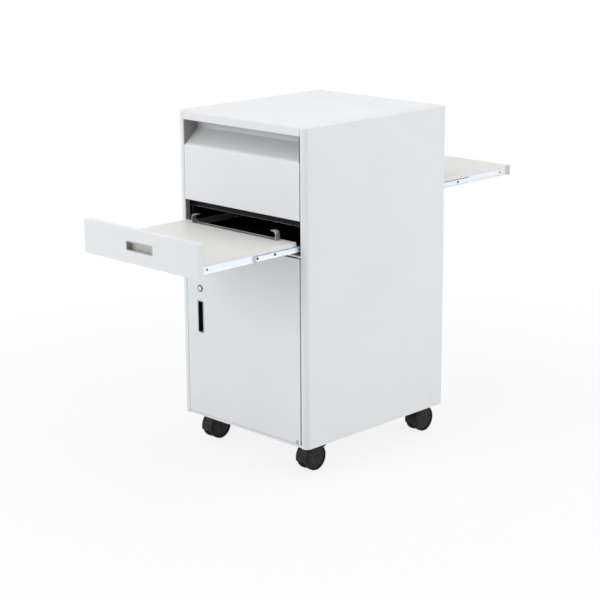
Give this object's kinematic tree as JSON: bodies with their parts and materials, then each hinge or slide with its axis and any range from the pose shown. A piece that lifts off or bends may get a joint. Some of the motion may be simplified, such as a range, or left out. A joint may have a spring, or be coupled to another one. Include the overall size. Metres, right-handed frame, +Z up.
{
  "type": "projector cart",
  "caption": "White steel cabinet on swivel casters with a pull-out laptop tray, a projector shelf that slides out at the back and a lockable cupboard door.",
  "frame": {"origin": "on the floor, under the middle of the outline with the tray and the shelf pulled out", "axes": "+X to the cart's right seen from its front, +Y from the front to the back, +Z up"},
  "size_m": [0.5, 1.2606, 0.97],
  "materials": {
    "white_coat": "satin powder coat",
    "zinc": "bright zinc plating",
    "plain_steel": "satin",
    "black_plastic": "matt moulded",
    "rubber": "matt"
  },
  "bodies": {
    "cabinet": {"side_panel_left": "white_coat", "side_panel_right": "white_coat", "top_panel": "white_coat", "upper_front_panel": "white_coat", "bay_divider": "white_coat", "lower_divider": "white_coat", "base_panel": "white_coat", "back_panel": "white_coat", "inner_shelf": "white_coat", "shelf_pins": "zinc", "uprights_left": "white_coat", "uprights_right": "white_coat", "tray_slide_outer_left": "zinc", "tray_slide_outer_right": "zinc", "shelf_slide_outer_left": "zinc", "shelf_slide_outer_right": "zinc", "door_pivots": "plain_steel", "door_bumpers": "rubber", "cabinet_screws": "zinc", "caster_plates": "zinc", "caster_stems": "zinc"},
    "tray": {"tray_deck": "white_coat", "drawer_front": "white_coat", "drawer_pull": "plain_steel", "laptop_stop": "plain_steel", "tray_slide_inner_left": "zinc", "tray_slide_inner_right": "zinc", "tray_screws": "zinc"},
    "tray_middle": {"tray_slide_middle_left": "zinc", "tray_slide_middle_right": "zinc", "tray_ball_cages": "zinc"},
    "shelf": {"projector_shelf": "white_coat", "shelf_slide_inner_left": "zinc", "shelf_slide_inner_right": "zinc", "shelf_screws": "zinc"},
    "shelf_middle": {"shelf_slide_middle_left": "zinc", "shelf_slide_middle_right": "zinc", "shelf_ball_cages": "zinc"},
    "door": {"door_panel": "white_coat", "door_inner_panel": "white_coat", "door_pull": "black_plastic", "door_bushes": "black_plastic", "lock_housing": "zinc"},
    "lock": {"lock_plug": "plain_steel", "lock_cam": "zinc"},
    "caster_fl": {"caster_fl_hood": "black_plastic"},
    "wheels_fl": {"caster_fl_axle": "zinc", "caster_fl_wheels": "rubber"},
    "brake_fl": {"brake_pedal_fl": "black_plastic"},
    "caster_fr": {"caster_fr_hood": "black_plastic"},
    "wheels_fr": {"caster_fr_axle": "zinc", "caster_fr_wheels": "rubber"},
    "brake_fr": {"brake_pedal_fr": "black_plastic"},
    "caster_rl": {"caster_rl_hood": "black_plastic"},
    "wheels_rl": {"caster_rl_axle": "zinc", "caster_rl_wheels": "rubber"},
    "caster_rr": {"caster_rr_hood": "black_plastic"},
    "wheels_rr": {"caster_rr_axle": "zinc", "caster_rr_wheels": "rubber"}
  },
  "joints": [
    {"name": "tray_slide", "type": "slide", "parent": "cabinet", "child": "tray", "axis": [0, 1, 0], "range_m": [0, 0.362]},
    {"name": "tray_middle_slide", "type": "slide", "parent": "cabinet", "child": "tray_middle", "axis": [0, 1, 0], "range_m": [0, 0.181]},
    {"name": "shelf_slide", "type": "slide", "parent": "cabinet", "child": "shelf", "axis": [0, -1, 0], "range_m": [0, 0.333]},
    {"name": "shelf_middle_slide", "type": "slide", "parent": "cabinet", "child": "shelf_middle", "axis": [0, -1, 0], "range_m": [0, 0.1665]},
    {"name": "door_hinge", "type": "hinge", "parent": "cabinet", "child": "door", "pos_m": [0.217, -0.2607, 0.3555], "axis": [0, 0, 1], "range_deg": [0, 105]},
    {"name": "lock_turn", "type": "hinge", "parent": "door", "child": "lock", "pos_m": [-0.172, -0.2677, 0.46804], "axis": [0, 1, 0], "range_deg": [0, 90]},
    {"name": "swivel_fl", "type": "hinge", "parent": "cabinet", "child": "caster_fl", "pos_m": [-0.194, -0.2177, 0.06], "axis": [0, 0, 1], "continuous": true},
    {"name": "wheel_fl", "type": "hinge", "parent": "caster_fl", "child": "wheels_fl", "pos_m": [-0.194, -0.1947, 0.0375], "axis": [1, 0, 0], "continuous": true},
    {"name": "brake_fl", "type": "hinge", "parent": "caster_fl", "child": "brake_fl", "pos_m": [-0.194, -0.15945, 0.0645], "axis": [1, 0, 0], "range_deg": [-12, 0]},
    {"name": "swivel_fr", "type": "hinge", "parent": "cabinet", "child": "caster_fr", "pos_m": [0.194, -0.2177, 0.06], "axis": [0, 0, 1], "continuous": true},
    {"name": "wheel_fr", "type": "hinge", "parent": "caster_fr", "child": "wheels_fr", "pos_m": [0.194, -0.1947, 0.0375], "axis": [1, 0, 0], "continuous": true},
    {"name": "brake_fr", "type": "hinge", "parent": "caster_fr", "child": "brake_fr", "pos_m": [0.194, -0.15945, 0.0645], "axis": [1, 0, 0], "range_deg": [-12, 0]},
    {"name": "swivel_rl", "type": "hinge", "parent": "cabinet", "child": "caster_rl", "pos_m": [-0.194, 0.2423, 0.06], "axis": [0, 0, 1], "continuous": true},
    {"name": "wheel_rl", "type": "hinge", "parent": "caster_rl", "child": "wheels_rl", "pos_m": [-0.194, 0.2653, 0.0375], "axis": [1, 0, 0], "continuous": true},
    {"name": "swivel_rr", "type": "hinge", "parent": "cabinet", "child": "caster_rr", "pos_m": [0.194, 0.2423, 0.06], "axis": [0, 0, 1], "continuous": true},
    {"name": "wheel_rr", "type": "hinge", "parent": "caster_rr", "child": "wheels_rr", "pos_m": [0.194, 0.2653, 0.0375], "axis": [1, 0, 0], "continuous": true}
  ],
  "couplings": [
    {"joint": "tray_middle_slide", "follows": "tray_slide", "ratio": 0.5},
    {"joint": "shelf_middle_slide", "follows": "shelf_slide", "ratio": 0.5}
  ]
}
